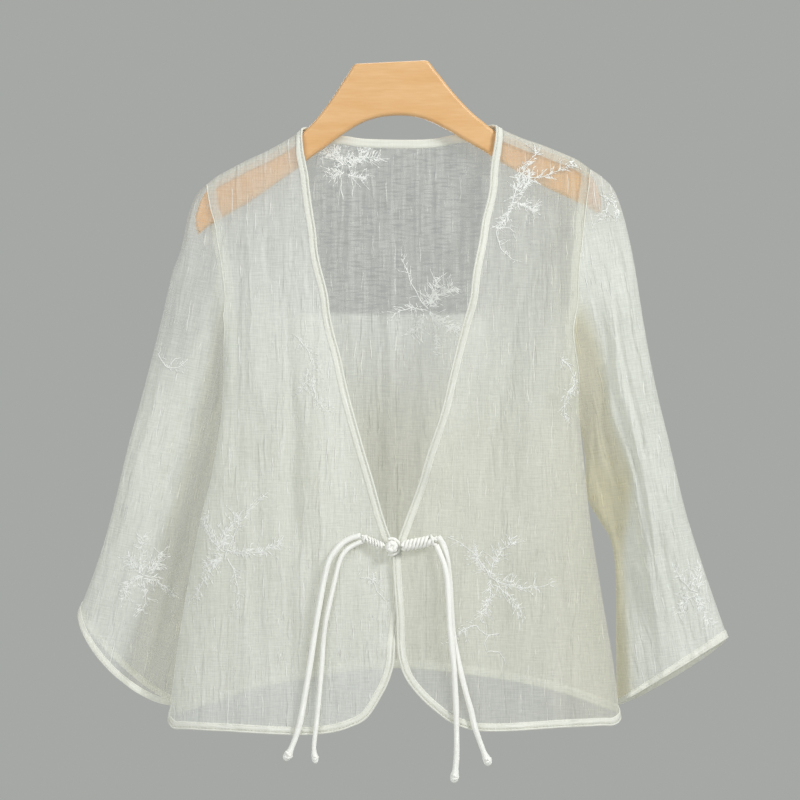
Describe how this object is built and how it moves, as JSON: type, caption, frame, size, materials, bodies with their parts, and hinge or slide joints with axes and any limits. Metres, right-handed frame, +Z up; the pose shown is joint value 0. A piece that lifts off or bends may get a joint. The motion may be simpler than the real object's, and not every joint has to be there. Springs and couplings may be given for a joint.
{
  "type": "sun protection jacket on a clothes hanger",
  "caption": "Sheer open-front sun protection jacket with long flared sleeves, bound edges and a braided button-and-tie closure, hung on a flat wooden hanger.",
  "frame": {"origin": "middle of the hanger's flat top edge, where the hanger is held", "axes": "+Z up, -Y towards the jacket's front, +X to the right as seen from the front; the hanger leans 2.8 degrees in its own plane, its +X side higher"},
  "size_m": [0.6435, 0.1094, 0.6981],
  "materials": {
    "sheer_cloth": "sheer, open plain weave with slubs",
    "binding_cloth": "matt, several layers of the same cloth stitched flat",
    "tie_cord": "matt rolled and plaited cloth cord",
    "hanger_wood": "clear satin varnish"
  },
  "bodies": {
    "root": {"hanger": "hanger_wood", "back_panel": "sheer_cloth", "front_left": "sheer_cloth", "front_right": "sheer_cloth", "sleeve_left": "sheer_cloth", "sleeve_right": "sheer_cloth", "cuff_left": "binding_cloth", "cuff_right": "binding_cloth", "binding_front_left": "binding_cloth", "binding_front_right": "binding_cloth", "binding_back_neck": "binding_cloth", "hem_back": "binding_cloth", "braid_left": "tie_cord", "braid_right": "tie_cord", "knot_button": "tie_cord", "button_loop": "tie_cord", "tie_left_outer": "tie_cord", "tie_left_inner": "tie_cord", "tie_right_inner": "tie_cord", "tie_right_outer": "tie_cord"}
  },
  "joints": []
}
